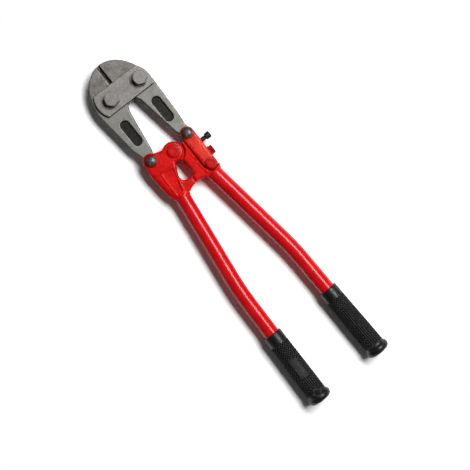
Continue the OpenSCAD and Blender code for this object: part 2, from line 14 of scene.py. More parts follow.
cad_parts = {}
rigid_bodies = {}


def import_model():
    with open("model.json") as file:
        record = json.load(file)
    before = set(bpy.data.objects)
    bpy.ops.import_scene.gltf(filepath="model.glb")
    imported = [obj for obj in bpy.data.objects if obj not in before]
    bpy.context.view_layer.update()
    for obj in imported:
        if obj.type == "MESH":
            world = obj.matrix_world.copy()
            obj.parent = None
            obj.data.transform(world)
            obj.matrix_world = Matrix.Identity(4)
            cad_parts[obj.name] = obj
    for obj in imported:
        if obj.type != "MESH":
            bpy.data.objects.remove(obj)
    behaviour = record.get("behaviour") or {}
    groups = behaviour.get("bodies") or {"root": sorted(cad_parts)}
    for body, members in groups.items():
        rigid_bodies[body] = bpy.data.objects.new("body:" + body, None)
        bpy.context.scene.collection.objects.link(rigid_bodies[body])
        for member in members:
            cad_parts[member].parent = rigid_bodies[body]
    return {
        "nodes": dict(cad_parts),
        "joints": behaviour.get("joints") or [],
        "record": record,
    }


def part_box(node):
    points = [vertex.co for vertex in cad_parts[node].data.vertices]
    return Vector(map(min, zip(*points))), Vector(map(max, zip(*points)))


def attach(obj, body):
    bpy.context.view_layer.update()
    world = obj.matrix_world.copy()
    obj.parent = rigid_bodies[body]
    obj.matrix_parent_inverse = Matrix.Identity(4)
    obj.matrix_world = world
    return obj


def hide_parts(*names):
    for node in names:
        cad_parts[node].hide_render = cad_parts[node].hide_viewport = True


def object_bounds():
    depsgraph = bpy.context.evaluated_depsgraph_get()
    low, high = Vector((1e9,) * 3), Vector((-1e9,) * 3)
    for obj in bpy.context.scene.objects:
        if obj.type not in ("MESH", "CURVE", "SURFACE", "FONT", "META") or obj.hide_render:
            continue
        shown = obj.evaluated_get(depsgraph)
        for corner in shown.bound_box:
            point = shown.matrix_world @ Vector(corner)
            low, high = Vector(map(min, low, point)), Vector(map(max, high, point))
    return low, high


for thing in list(bpy.data.objects):
    bpy.data.objects.remove(thing)

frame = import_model()
CAD_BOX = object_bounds()
NODES = frame["nodes"]
JOINT = {j["name"]: Vector(j["pos_m"]) for j in frame["joints"]}
RECORD = frame["record"]
BODY_OF = {n: body for body, members in RECORD["behaviour"]["bodies"].items() for n in members}

MM = 0.001
HINGE = {"left": JOINT["left_jaw_open"], "right": JOINT["right_jaw_open"]}
TOGGLE = {"left": JOINT["left_handle_open"], "right": JOINT["right_handle_open"]}
LEVER_PIVOT = JOINT["lever_adjust"]
MID_Z = LEVER_PIVOT.z
lo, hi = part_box("centre_bolt")
CENTRE = Vector(((lo.x + hi.x) / 2, (lo.y + hi.y) / 2, MID_Z))
# Heights over the middle plane in mm: the jaws' faces, and just above them the ears' inner faces.
JAW_TOP = (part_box("jaw_left")[1].z - MID_Z) / MM
EAR_INSIDE = JAW_TOP + 0.3


# ---------- material nodes ----------


class Graph:
    """A material's node tree, with short calls for the nodes that the finishes share."""

    def __init__(self, name):
        self.mat = bpy.data.materials.new(name)
        self.mat.use_nodes = True
        self.tree = self.mat.node_tree
        self.tree.nodes.clear()
        self.out = self.add("ShaderNodeOutputMaterial")
        self.bsdf = self.add("ShaderNodeBsdfPrincipled")
        self.link(self.bsdf.outputs["BSDF"], self.out.inputs["Surface"])
        self.coords = self.add("ShaderNodeTexCoord").outputs["Object"]

    def add(self, kind, **settings):
        node = self.tree.nodes.new(kind)
        for key, value in settings.items():
            setattr(node, key, value)
        return node

    def link(self, a, b):
        self.tree.links.new(a, b)

    def put(self, socket, value):
        if hasattr(value, "is_output"):
            self.link(value, socket)
        else:
            socket.default_value = value

    def split(self, vector=None):
        node = self.add("ShaderNodeSeparateXYZ")
        self.link(vector or self.coords, node.inputs[0])
        return node.outputs

    def placed(self, centre, angle):
        """Coordinates from a centre, turned about the upright axis."""
        node = self.add("ShaderNodeMapping", vector_type="TEXTURE")
        self.link(self.coords, node.inputs["Vector"])
        node.inputs["Rotation"].default_value = (0, 0, angle)
        node.inputs["Location"].default_value = centre
        return node.outputs["Vector"]

    def noise(self, size_mm, detail, rough):
        node = self.add("ShaderNodeTexNoise")
        self.link(self.coords, node.inputs["Vector"])
        node.inputs["Scale"].default_value = 1 / (size_mm * MM)
        node.inputs["Detail"].default_value = detail
        node.inputs["Roughness"].default_value = rough
        return node.outputs["Fac"]

    def math(self, operation, a, b=0.0):
        node = self.add("ShaderNodeMath", operation=operation)
        self.put(node.inputs[0], a)
        self.put(node.inputs[1], b)
        return node.outputs[0]

    def times(self, a, b):
        return self.math("MULTIPLY", a, b)

    def ramp(self, value, low, high, out_low=0.0, out_high=1.0):
        node = self.add("ShaderNodeMapRange", clamp=True, interpolation_type="SMOOTHSTEP")
        self.link(value, node.inputs["Value"])
        limits = {"From Min": low, "From Max": high, "To Min": out_low, "To Max": out_high}
        for key, number in limits.items():
            node.inputs[key].default_value = number
        return node.outputs["Result"]

    def fade(self, value, low, high):
        """1 below low, 0 above high."""
        return self.ramp(value, low, high, 1.0, 0.0)

    def mix(self, factor, a, b):
        node = self.add("ShaderNodeMix", data_type="RGBA")
        self.put(node.inputs["Factor"], factor)
        self.put(node.inputs[6], a)
        self.put(node.inputs[7], b)
        return node.outputs[2]

    def bump(self, height, depth_mm, normal=None):
        node = self.add("ShaderNodeBump")
        self.link(height, node.inputs["Height"])
        node.inputs["Distance"].default_value = depth_mm * MM
        if normal:
            self.link(normal, node.inputs["Normal"])
        return node.outputs["Normal"]

    def edge_mask(self, low, high):
        return self.ramp(self.add("ShaderNodeNewGeometry").outputs["Pointiness"], low, high)

    def shader(self, **sockets):
        for key, value in sockets.items():
            self.put(self.bsdf.inputs[key.replace("_", " ")], value)
        return self.mat


def rgb(r, g, b):
    return (r, g, b, 1.0)


def tinted(colour, factors):
    return tuple(c * k for c, k in zip(colour, factors))


# Noise values between which one colour turns into the other.
TONE_SPAN = (0.36, 0.64)
SPECK_SPAN = (0.35, 0.7)
ROUGH_SPAN = (0.3, 0.7)
STAIN_SPAN = (0.52, 0.75)
STAIN_SHARE = 0.5
STAIN_TINT = (0.98, 0.86, 0.78, 1)
POCKET_PAINT = (rgb(0.005, 0.005, 0.004), rgb(0.018, 0.017, 0.016))
# Painted shade for the groove along the cutting seam.
BEVEL_SHADE = (rgb(0.06, 0.044, 0.030), rgb(0.11, 0.086, 0.066))
ARM_FADE = 20 * MM


def steel(name, dark, light, metallic=0.45, rough=(0.42, 0.6), grain_mm=0.9, grain_depth=0.05,
          speck_mm=2.6, edge_colour=None, pocket=None, seam_x=None, arm_light=None, wall=None):
    """Blasted or machined steel: mottled tone, specks and a fine grain.

    worn is the colour of the edges, rubbed bright with wear, arm_light the lightest tone of a jaw's arm,
    pocket the arm's painted recess, seam_x the line of the ground cutting bevels, which get a painted
    shade. wall is a painted shade on
    upright walls: its colour, and how far the surface faces up where it starts to fade and where it
    ends.
    """
    g = Graph(name)
    broad = g.noise(24, 4, 0.6)
    speck = g.noise(speck_mm, 2, 0.6)
    tone = g.ramp(g.math("ADD", g.times(broad, 0.5), g.times(speck, 0.5)), *TONE_SPAN)
    colour = g.mix(tone, dark, light)
    if arm_light:
        on_arm = g.fade(g.split()[1], HINGE["left"].y - ARM_FADE, HINGE["left"].y)
        colour = g.mix(on_arm, colour, g.mix(tone, light, arm_light))
    stain = g.times(g.ramp(g.noise(13, 4, 0.65), *STAIN_SPAN), STAIN_SHARE)
    colour = g.mix(stain, colour, tinted(dark, STAIN_TINT))
    if edge_colour:
        colour = g.mix(g.edge_mask(0.505, 0.56), colour, edge_colour)
    # Painted shade: upright walls take a dark colour, which fades as the surface turns to face up.
    if wall:
        wall_shade, low, high = wall
        facing = g.split(g.add("ShaderNodeTexCoord").outputs["Normal"])
        upright = g.fade(g.math("ABSOLUTE", facing[2]), low, high)
        colour = g.mix(upright, colour, wall_shade)
    blotch = g.ramp(speck, *SPECK_SPAN)
    if pocket:
        colour = g.mix(pocket_mask(g, pocket), colour, g.mix(blotch, *POCKET_PAINT))
    # Painted shade: the bevels along the seam take a dark colour.
    if seam_x is not None:
        colour = g.mix(bevel_mask(g, seam_x), colour, g.mix(blotch, *BEVEL_SHADE))
    roughness = g.ramp(g.noise(7, 4, 0.6), *ROUGH_SPAN, *rough)
    grain = g.bump(g.noise(grain_mm, 3, 0.65), grain_depth)
    waves = g.bump(g.noise(9, 3, 0.5), 0.12, grain)
    return g.shader(Base_Color=colour, Roughness=roughness, Metallic=metallic, Normal=waves,
                    Specular_IOR_Level=0.3)


# The ground bevels, coloured dark as a painted shade in the groove: where they end beside the seam, and
# how far below the jaws' faces they start, in mm.
BEVEL_EDGE = (3.0, 3.6)
BEVEL_BELOW = (0.7, 0.25)


def bevel_mask(g, seam_x):
    """1 on the ground bevels along the cutting edges, below the flat faces of the jaws."""
    place = g.split()
    off = g.math("ABSOLUTE", g.math("SUBTRACT", place[0], seam_x))
    near = g.fade(off, BEVEL_EDGE[0] * MM, BEVEL_EDGE[1] * MM)
    height = g.math("ABSOLUTE", g.math("SUBTRACT", place[2], MID_Z))
    below = g.fade(height, (JAW_TOP - BEVEL_BELOW[0]) * MM, (JAW_TOP - BEVEL_BELOW[1]) * MM)
    ahead = g.ramp(place[1], HINGE["left"].y, HINGE["left"].y + 1 * MM)
    return g.times(g.times(near, below), ahead)


# The recess's paint: how far it laps over the outline, and how high it climbs from the floor, in mm.
LAP = (0.1, 0.5)
CLIMB = (2.0, 2.5)


def pocket_mask(g, pocket):
    """1 inside the painted recess of a jaw arm, from the recess floor found in the CAD mesh."""
    centre, angle, half_w, half_l, floor = pocket
    place = g.split(g.placed(centre, angle))
    beyond = g.math("SUBTRACT", g.math("ABSOLUTE", place[1]), half_l - half_w)
    along = g.math("MAXIMUM", beyond, 0.0)
    squares = g.math("ADD", g.times(place[0], place[0]), g.times(along, along))
    edge = g.fade(g.math("SQRT", squares), half_w + LAP[0] * MM, half_w + LAP[1] * MM)
    height = g.math("ABSOLUTE", place[2])
    deep = g.fade(height, floor + CLIMB[0] * MM, floor + CLIMB[1] * MM)
    return g.times(edge, deep)


def plan_distance(g, axis):
    """Distance in plan from an upright axis."""
    offset = g.add("ShaderNodeVectorMath", operation="SUBTRACT")
    g.link(g.coords, offset.inputs[0])
    offset.inputs[1].default_value = axis
    flat = g.add("ShaderNodeVectorMath", operation="MULTIPLY")
    g.link(offset.outputs[0], flat.inputs[0])
    flat.inputs[1].default_value = (1, 1, 0)
    length = g.add("ShaderNodeVectorMath", operation="LENGTH")
    g.link(flat.outputs[0], length.inputs[0])
    return length.outputs["Value"]


DRIFT_SPAN = (0.32, 0.68)
# Tint of the painted shade round the pivots.
PIVOT_SHADE_TINT = (0.22, 0.9, 1, 1)


def paint(name, deep, bright, lump_mm, lump_depth, coat=0.35, coat_rough=0.12, rough=0.35,
          pitted=0.0, edge_colour=None, specular=0.12, rings=()):
    """Gloss paint over metal: slow lumps under the coat, slight colour drift, brighter on edges.

    worn is the lighter colour of the edges, a painted highlight. rings are (axis, inner radius,
    outer radius) in mm, where a painted shade darkens the paint round a pivot.
    """
    g = Graph(name)
    colour = g.mix(g.ramp(g.noise(18, 3, 0.55), *DRIFT_SPAN), deep, bright)
    # Painted highlight: the edges take a lighter colour of the paint.
    if edge_colour:
        colour = g.mix(g.edge_mask(0.51, 0.60), colour, edge_colour)
    # Painted shade: a darker ring round each pivot, broken up by noise.
    for axis, inner, outer in rings:
        away = plan_distance(g, axis)
        inside = g.fade(away, (outer - 1.5) * MM, (outer + 1.5) * MM)
        ring = g.times(g.ramp(away, (inner - 0.5) * MM, inner * MM), inside)
        ring_shade = g.ramp(g.noise(3.5, 3, 0.65), 0.3, 0.6, 0.45, 0.95)
        colour = g.mix(g.times(ring, ring_shade), colour, tinted(deep, PIVOT_SHADE_TINT))
    normal = g.bump(g.noise(lump_mm, 3, 0.5), lump_depth)
    if pitted:
        normal = g.bump(g.noise(1.6, 3, 0.6), pitted, normal)
    roughness = g.ramp(g.noise(6, 3, 0.6), *ROUGH_SPAN, rough * 0.85, rough * 1.2)
    return g.shader(Base_Color=colour, Roughness=roughness, Normal=normal, Coat_Weight=coat,
                    Coat_Roughness=coat_rough, Specular_IOR_Level=specular)


# Painted shade in the valleys of the grip pattern.
VALLEY_SHADE = (rgb(0.002, 0.002, 0.002), rgb(0.005, 0.005, 0.005))
DUST = rgb(0.05, 0.049, 0.048)


def rubber(name, crest_dark, crest_light, rough, specular):
    """Moulded rubber: dark in the valleys of the pattern (the mesh's "relief"), dusty on its tops."""
    g = Graph(name)
    relief = g.add("ShaderNodeAttribute", attribute_name="relief").outputs["Fac"]
    tone = g.ramp(g.noise(3.0, 4, 0.65), *SPECK_SPAN)
    # Painted shade: the valleys of the pattern take a near-black colour.
    valley_shade = g.mix(tone, *VALLEY_SHADE)
    crest = g.mix(tone, crest_dark, crest_light)
    colour = g.mix(g.ramp(relief, 0.42, 0.95), valley_shade, crest)
    dust = g.times(g.ramp(g.noise(30, 3, 0.6), 0.5, 0.75), g.times(relief, 0.3))
    colour = g.mix(dust, colour, DUST)
    roughness = g.ramp(g.noise(5, 3, 0.6), *ROUGH_SPAN, *rough)
    normal = g.bump(g.noise(0.7, 3, 0.6), 0.06)
    return g.shader(Base_Color=colour, Roughness=roughness, Normal=normal, Specular_IOR_Level=specular)


# ---------- shapes ----------


def points_of(node):
    """The vertices of a CAD node's mesh, one per row, in metres."""
    return np.array([v.co for v in NODES[node].data.vertices], float)


# Cells of the plan grid, and how far up or down a point may face and still belong to a wall.
PLAN_CELL = 0.9 * MM
WALL_SLOPE = 0.6


def spread(mask):
    """A plan mask grown by one cell on every side."""
    grown = mask.copy()
    grown[1:] |= mask[:-1]
    grown[:-1] |= mask[1:]
    grown[:, 1:] |= mask[:, :-1]
    grown[:, :-1] |= mask[:, 1:]
    return grown


def outline_distance(co, normal):
    """Distance in plan from each point to the nearest wall that faces the outside.

    The outside is flooded over a grid of plan cells, so bores and pockets don't count.
    """
    low = co[:, :2].min(0) - 3 * PLAN_CELL
    ij = ((co[:, :2] - low) / PLAN_CELL).astype(int)
    solid = np.zeros(ij.max(0) + 4, bool)
    solid[ij[:, 0], ij[:, 1]] = True
    outside = np.zeros_like(solid)
    outside[0, 0] = True
    while True:
        grown = spread(outside) & ~solid
        if (grown == outside).all():
            break
        outside = grown
    near = spread(spread(outside))[ij[:, 0], ij[:, 1]]
    walls = co[near & (np.abs(normal[:, 2]) < WALL_SLOPE)]
    tree = KDTree(len(walls))
    for i, (x, y, _) in enumerate(walls):
        tree.insert((x, y, 0), i)
    tree.balance()
    return np.array([tree.find((x, y, 0))[2] for x, y, _ in co])


# The largest share of an upright height that a rim's round may take away.
MOST_DROP = 0.93


def forged(node, name, voxel_mm, passes, rim):
    """A CAD node's body, remeshed, with its outline rounded towards both faces as a forging's is.

    rim(x, y), with x and y in mm from the centre bolt, gives in mm how far the round reaches in,
    how far it falls, and the height over the middle plane up to which the walls stay upright.
    """
    o = bpy.data.objects.new(name, NODES[node].data.copy())
    bpy.context.scene.collection.objects.link(o)
    remesh = o.modifiers.new("remesh", "REMESH")
    remesh.mode = "VOXEL"
    remesh.voxel_size = voxel_mm * MM
    mesh = bpy.data.meshes.new_from_object(o.evaluated_get(bpy.context.evaluated_depsgraph_get()))
    o.modifiers.clear()
    o.data = mesh
    co = np.empty(len(mesh.vertices) * 3)
    normal = np.empty_like(co)
    mesh.vertices.foreach_get("co", co)
    mesh.vertices.foreach_get("normal", normal)
    co, normal = co.reshape(-1, 3), normal.reshape(-1, 3)
    lo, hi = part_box(node)
    top = max(hi.z - MID_Z, MID_Z - lo.z) / MM
    x, y = (co[:, 0] - CENTRE.x) / MM, (co[:, 1] - CENTRE.y) / MM
    reach, fall, upright = (np.broadcast_to(v, x.shape) for v in rim(x, y))
    share = np.clip(1 - outline_distance(co, normal) / MM / reach, 0, 1)
    drop = np.minimum(fall * (1 - np.sqrt(1 - share ** 2)), MOST_DROP * (top - upright))
    height = (co[:, 2] - MID_Z) / MM
    tall = np.abs(height) - upright
    squeezed = np.sign(height) * (upright + tall * (1 - drop / (top - upright)))
    co[:, 2] = MID_Z + np.where(tall > 0, squeezed, height) * MM
    mesh.vertices.foreach_set("co", co.ravel())
    for p in mesh.polygons:
        p.use_smooth = True
    mesh.update()
    smooth = o.modifiers.new("forged_smooth", "SMOOTH")
    smooth.factor = 0.5
    smooth.iterations = passes
    return o


def stands_for(piece, node, finish):
    """The piece takes the node's place, body and material slot."""
    piece.data.materials.clear()
    piece.data.materials.append(finish)
    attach(piece, BODY_OF[node])
    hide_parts(node)


def ramp_up(x, a, b):
    """smooth_step for arrays."""
    t = np.clip((x - a) / (b - a), 0, 1)
    return t * t * (3 - 2 * t)


SAME_POINT = 0.002 * MM
EDGE_BREAK = 0.35 * MM
SHARP_ANGLE = math.radians(34)


def break_edges(node):
    """A small machined break on the edges of bolts and nuts."""
    weld = NODES[node].modifiers.new("edge_weld", "WELD")
    weld.merge_threshold = SAME_POINT
    bevel = NODES[node].modifiers.new("edge_break", "BEVEL")
    bevel.width = EDGE_BREAK
    bevel.segments = 2
    bevel.limit_method = "ANGLE"
    bevel.angle_limit = SHARP_ANGLE
    bevel.use_clamp_overlap = True
    bevel.harden_normals = True


def dress(node, finish):
    """Puts a material on a CAD node's first slot."""
    slots = NODES[node].data.materials
    if not slots:
        slots.append(None)
    slots[0] = finish


ARM_START = 30 * MM
FACE_CLEAR = 1.0 * MM
MIDDLE_CLEAR = 1.5 * MM
LEVEL_TOLERANCE = 0.05 * MM


def pocket_of(node):
    """Centre, angle, half width, half length and floor height of a jaw arm's recess.

    The floor is the level that most points of the arm share between its face and its middle plane.
    """
    co = points_of(node)
    up = np.abs(co[:, 2] - MID_Z)
    sunk = (up < up.max() - FACE_CLEAR) & (up > MIDDLE_CLEAR)
    inner = co[sunk & (co[:, 1] < HINGE["left"].y - ARM_START)]
    floor = np.abs(inner[:, 2] - MID_Z)
    level = np.median(floor)
    inner = inner[np.abs(floor - level) < LEVEL_TOLERANCE][:, :2]
    mid = (inner.max(0) + inner.min(0)) / 2
    axis = np.linalg.svd(inner - inner.mean(0))[2][0]
    if axis[1] < 0:
        axis = -axis
    along = (inner - mid) @ axis
    across = (inner - mid) @ np.array([axis[1], -axis[0]])
    mid = mid + axis * (along.max() + along.min()) / 2
    half_l, half_w = np.ptp(along) / 2, np.ptp(across) / 2
    angle = math.atan2(-axis[0], axis[1])
    return (mid[0], mid[1], MID_Z), angle, half_w, half_l, level


BLADE_START = 30 * MM


def blade_x(node):
    """x of a jaw's points ahead of its hinge."""
    co = points_of(node)
    return co[co[:, 1] > HINGE["left"].y + BLADE_START, 0]


MOUTH_TOLERANCE = 0.3 * MM


def grip_axis(node):
    """Mouth centre, direction towards the end, and length of a grip."""
    co = points_of(node)
    axis = np.linalg.svd(co - co.mean(0), full_matrices=False)[2][0]
    if axis[1] > 0:
        axis = -axis
    axis[2] = 0
    axis /= np.linalg.norm(axis)
    lo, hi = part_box(node)
    along = (co - co.mean(0)) @ axis
    mouth_ring = co[along < along.min() + MOUTH_TOLERANCE]
    start = (mouth_ring.max(0) + mouth_ring.min(0)) / 2
    start[2] = (lo.z + hi.z) / 2
    return Vector(start), Vector(axis), float(np.ptp(along))


# The grip along its length, in mm from the mouth or back from the end.
COLLAR = 18.0
COLLAR_FADE = 1.5
FLARE = 24.0
BULB = 14.0
BULB_RISE = 6.0
END_ROUND = 6.5
MOUTH_LIP = 1.6
LIP_DROP = 0.9
# Its diamond knurling, and the ribbed band on the top and bottom lines.
KNURL_PITCH = 5.0
KNURL_STRETCH = 0.95
KNURL_DEPTH = 1.2
KNURL_FLAT = 1.25
KNURL_SHARP = 0.8
RIB_PITCH = 3.4
RIB_DEPTH = 1.1
BAND_HALF = 6.8
BAND_EDGE = (-0.7, 0.2)
RIBS_FROM = (30, 33)
# The plain pad and the plain button on the left grip's top line, and the ribs behind the pad.
PAD_START = 50.0
PAD_END = 78.5
PAD_EDGE = 1.5
PAD_HEIGHT = 0.5
KNURL_TO = (46, 49)
TAIL_FROM = (80, 82)
BUTTON_BACK = 15.5
BUTTON_R = 6.5
BUTTON_EDGE = 0.4
RIM_INSIDE = (2.3, 1.7)
RIM_HEIGHT = 1.2
DISH_DEPTH = 0.55
# The grip's mesh: points round it, rings along it, and the pattern value of plain rubber.
AROUND = 176
BORE_SHOWN = 6.0
BORE_CHAMFER = 0.3
MOUTH_STATIONS = (0.0, 0.25, 0.6, 1.0, MOUTH_LIP)
FIRST_STATION = 2.4
STATION = 0.62
PLAIN_RELIEF = 0.75


def grip_radii(node):
    """Radii at the bore, the mouth, in front of the flange and of the flange, in mm."""
    start, axis, length = grip_axis(node)
    co = points_of(node) - np.array(start)
    s = co @ np.array(axis)
    r = np.linalg.norm(co - s[:, None] * np.array(axis), axis=1) / MM
    s /= MM
    collar = r[(s > 0.5) & (s < COLLAR)]
    body = r[(s > length / MM - FLARE - 4) & (s < length / MM - FLARE + 0.5)]
    return float(r[s < 1].min()), float(collar.max()), float(body.max()), float(r.max())


GRIP_BORE_R, GRIP_MOUTH_R, GRIP_END_R, GRIP_FLANGE_R = grip_radii("grip_right")


def smooth_step(x, a, b):
    """0 up to a, 1 from b on."""
    t = min(1.0, max(0.0, (x - a) / (b - a)))
    return t * t * (3 - 2 * t)


def grip_radius(s, length):
    """Radius of the plain form at a distance behind the mouth, in mm."""
    bulb = length - BULB
    if s <= bulb:
        r = GRIP_MOUTH_R + (GRIP_END_R - GRIP_MOUTH_R) * smooth_step(s, 0, bulb)
        return r - LIP_DROP * (1 - smooth_step(s, 0, MOUTH_LIP))
    r = GRIP_END_R + (GRIP_FLANGE_R - GRIP_END_R) * smooth_step(s, bulb, bulb + BULB_RISE)
    start = length - END_ROUND
    if s > start:
        t = (s - start) / END_ROUND
        r = GRIP_FLANGE_R - END_ROUND + END_ROUND * math.sqrt(max(0.0, 1 - t * t))
    return r


def button_cover(s, w, length):
    """How much a point on the grip belongs to the plain round button, and the button's height."""
    away = math.hypot(s - (length - BUTTON_BACK), w)
    cover = 1 - smooth_step(away, BUTTON_R - BUTTON_EDGE, BUTTON_R + BUTTON_EDGE)
    rim = smooth_step(away, BUTTON_R - RIM_INSIDE[0], BUTTON_R - RIM_INSIDE[1])
    return cover, RIM_HEIGHT * rim - DISH_DEPTH


def knurl_relief(s, w, r):
    """Height of the diamond knurling in mm, 0 on its tops."""
    around = 2 * math.pi * r
    turn = w / around * round(around / KNURL_PITCH / 2) * 2
    step = s / (KNURL_PITCH * KNURL_STRETCH)
    diamond = abs(math.sin(math.pi * (step + turn))) * abs(math.sin(math.pi * (step - turn)))
    return -KNURL_DEPTH * (1 - min(1.0, KNURL_FLAT * diamond ** KNURL_SHARP))


def grip_relief(s, w, r, length, labelled):
    """Height of the pattern in mm: s behind the mouth, w round from the top or bottom line."""
    bulb = length - BULB
    zone = smooth_step(s, COLLAR, COLLAR + COLLAR_FADE) * (1 - smooth_step(s, bulb - 4, bulb - 1))
    side = knurl_relief(s, w, r)
    ribs = -RIB_DEPTH * (0.5 - 0.5 * math.cos(2 * math.pi * w / RIB_PITCH))
    band = 1 - smooth_step(abs(w), BAND_HALF + BAND_EDGE[0], BAND_HALF + BAND_EDGE[1])
    if not labelled:
        start = smooth_step(s, *RIBS_FROM)
        top = ribs * start + side * (1 - start)
        return (side + (top - side) * band) * zone
    pad = smooth_step(s, PAD_START, PAD_START + PAD_EDGE)
    pad *= 1 - smooth_step(s, PAD_END - PAD_EDGE, PAD_END)
    tail = smooth_step(s, *TAIL_FROM)
    top = ribs * tail * (1 - pad) + side * (1 - smooth_step(s, *KNURL_TO)) * (1 - tail)
    height = (side + (top - side) * band) * zone
    height += (PAD_HEIGHT - height) * pad * band
    cover, raised = button_cover(s, w, length)
    return height * (1 - cover) + raised * cover


def build_grip(node, name, labelled):
    """A hollow grip with its pattern; labelled adds the plain pad and button on the top line."""
    start, axis, length = grip_axis(node)
    length /= MM
    across = Vector((-axis.y, axis.x, 0)) if node.endswith("right") else Vector((axis.y, -axis.x, 0))
    up = Vector((0, 0, 1))
    relief_end = length - BUTTON_BACK + BUTTON_R if labelled else length - BULB
    stations = list(MOUTH_STATIONS)
    s = FIRST_STATION
    while s < length - END_ROUND:
        stations.append(s)
        s += STATION
    stations += [length - END_ROUND + END_ROUND * math.sin(math.radians(a)) for a in range(0, 90, 9)]
    verts, relief, rings = [], [], []

    def knurled(i):
        out = verts[i] - start
        s = out.dot(axis) / MM
        cover = button_cover(s, out.dot(across) / MM, length)[0]
        return COLLAR < s < length - BULB - 1 or (labelled and out.z > 0 and cover > 0.5)

    def ring(s, radius_at, plain=None):
        """A ring of points; plain is the unpatterned radius where the pattern's shade is wanted."""
        first = len(verts)
        for k in range(AROUND):
            t = 2 * math.pi * k / AROUND
            r = radius_at(t)
            verts.append(start + axis * (s * MM) + (across * math.sin(t) + up * math.cos(t)) * (r * MM))
            if plain is None:
                relief.append(PLAIN_RELIEF)
            else:
                relief.append(max(0.0, min(1.0, 1 + (r - plain) / KNURL_DEPTH)))
        rings.append(range(first, first + AROUND))

    ring(BORE_SHOWN, lambda t: GRIP_BORE_R)
    ring(BORE_CHAMFER, lambda t: GRIP_BORE_R)
    ring(0.0, lambda t: GRIP_BORE_R + BORE_CHAMFER)
    for s in stations:
        r0 = grip_radius(s, length)

        def outer(t, s=s, r0=r0):
            folded = t if t <= math.pi else t - 2 * math.pi
            below = abs(folded) > math.pi / 2
            near = math.copysign(math.pi, folded) - folded if below else folded
            return r0 + grip_relief(s, near * r0, r0, length, labelled and not below)

        patterned_ring = MOUTH_LIP < s < relief_end and r0 < GRIP_FLANGE_R
        ring(s, outer, r0 if patterned_ring else None)
    for share in (0.8, 0.55, 0.3, 0.1):
        r = (GRIP_FLANGE_R - END_ROUND) * share
        ring(length, lambda t, r=r: r)
    verts.append(start + axis * (length * MM))
    relief.append(PLAIN_RELIEF)
    tip = len(verts) - 1
    faces, patterned = [], []
    for a, b in zip(rings, rings[1:]):
        for k in range(AROUND):
            n = (k + 1) % AROUND
            faces.append((a[k], a[n], b[n], b[k]))
            patterned.append(int(knurled(a[k]) and knurled(b[n])))
    last = rings[-1]
    faces += [(last[k], last[(k + 1) % AROUND], tip) for k in range(AROUND)]
    patterned += [0] * AROUND
    mesh = bpy.data.meshes.new(name)
    mesh.from_pydata([tuple(v) for v in verts], [], faces)
    mesh.attributes.new("relief", "FLOAT", "POINT").data.foreach_set("value", relief)
    mesh.update()
    mesh.polygons.foreach_set("material_index", patterned)
    for p in mesh.polygons:
        p.use_smooth = True
    o = bpy.data.objects.new(name, mesh)
    bpy.context.scene.collection.objects.link(o)
    return o


# ---------- finishes ----------

STEEL_DARK = rgb(0.122, 0.115, 0.107)
STEEL_LIGHT = rgb(0.245, 0.232, 0.219)
# Painted shade for the upright walls of the jaws and plates.
WALL_SHADE = rgb(0.015, 0.014, 0.013)
SEAM_X = float(blade_x("jaw_left").max() + blade_x("jaw_right").min()) / 2

jaw_finish = {
    side: steel(
        f"blasted_steel_{side}", STEEL_DARK, STEEL_LIGHT, edge_colour=rgb(0.30, 0.29, 0.275),
        pocket=pocket_of(f"jaw_{side}"), seam_x=SEAM_X, arm_light=rgb(0.198, 0.200, 0.181),
        wall=(WALL_SHADE, 0.6, 0.93),
    )
    for side in ("left", "right")
}
plate_finish = steel(
    "link_plate_steel", rgb(0.195, 0.183, 0.173), rgb(0.305, 0.289, 0.276), grain_depth=0.035,
    speck_mm=2.2, edge_colour=rgb(0.32, 0.31, 0.295), wall=(WALL_SHADE, 0.5, 0.8),
)
# The bolts' upright walls get a painted shade too.
bolt_finish = steel(
    "pivot_bolt_steel", rgb(0.195, 0.187, 0.178), rgb(0.272, 0.263, 0.251), rough=(0.34, 0.5),
    grain_mm=0.6, grain_depth=0.02, wall=(rgb(0.05, 0.047, 0.044), 0.2, 0.6),
)
dark_finish = steel(
    "dark_oxide_steel", rgb(0.055, 0.050, 0.048), rgb(0.130, 0.120, 0.115), metallic=0.7,
    rough=(0.3, 0.5), grain_mm=0.6, grain_depth=0.03,
)
oxide_finish = steel(
    "black_oxide_screw", rgb(0.016, 0.016, 0.016), rgb(0.035, 0.035, 0.035), metallic=0.7,
    rough=(0.28, 0.45), grain_mm=0.5, grain_depth=0.02,
)
# On the paints, worn is a painted highlight along the edges.
casting_finish = paint(
    "red_cast_paint", rgb(0.56, 0.003, 0.003), rgb(0.71, 0.006, 0.004), lump_mm=4.5, lump_depth=0.6,
    coat=0.15, pitted=0.07, edge_colour=rgb(0.84, 0.06, 0.05), specular=0.08,
    rings=((TOGGLE["left"], 7.5, 10.5), (CENTRE, 9.2, 10.2)),
)
cap_finish = paint(
    "red_cap_paint", rgb(0.58, 0.003, 0.004), rgb(0.72, 0.006, 0.006), lump_mm=3.0, lump_depth=0.4,
    coat=0.15, coat_rough=0.2, pitted=0.05, specular=0.08,
    rings=((CENTRE, 4.6, 5.6), (LEVER_PIVOT, 4.4, 5.4)),
)
tube_finish = paint(
    "red_tube_paint", rgb(0.60, 0.004, 0.008), rgb(0.68, 0.007, 0.011), lump_mm=14, lump_depth=0.18,
    coat_rough=0.10, rough=0.3,
)
lever_finish = paint(
    "orange_lever_paint", rgb(0.62, 0.016, 0.009), rgb(0.78, 0.036, 0.018), lump_mm=2.8, lump_depth=0.5,
    coat=0.2, coat_rough=0.16, pitted=0.08, edge_colour=rgb(0.84, 0.10, 0.07),
    rings=((TOGGLE["right"], 7.5, 10.5), (LEVER_PIVOT, 8.2, 9.6)),
)
